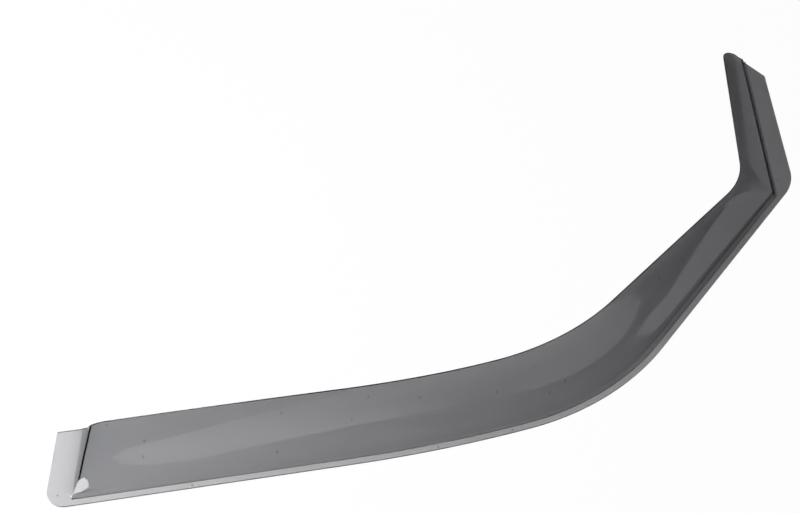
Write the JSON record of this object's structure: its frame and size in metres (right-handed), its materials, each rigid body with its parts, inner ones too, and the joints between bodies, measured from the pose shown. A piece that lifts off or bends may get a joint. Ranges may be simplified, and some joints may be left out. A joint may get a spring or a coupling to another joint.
{
  "type": "window rain deflector",
  "caption": "Long curved strip of smoke-tinted acrylic that shields a car's door window from rain, with a thin insertion flange beside a moulded step and a flat tab at one end.",
  "frame": {"origin": "centre of the outline seen from above, on the underside of the insertion flange", "axes": "+X along the roof stretch from the wide end with the tab towards the front of the car, +Y from the flange's edge towards the window opening, +Z outwards from the door"},
  "size_m": [0.8156, 0.4782, 0.0164],
  "materials": {
    "tinted_acrylic": "polished smoke-tinted transparent acrylic"
  },
  "bodies": {
    "root": {"deflector": "tinted_acrylic"}
  },
  "joints": []
}
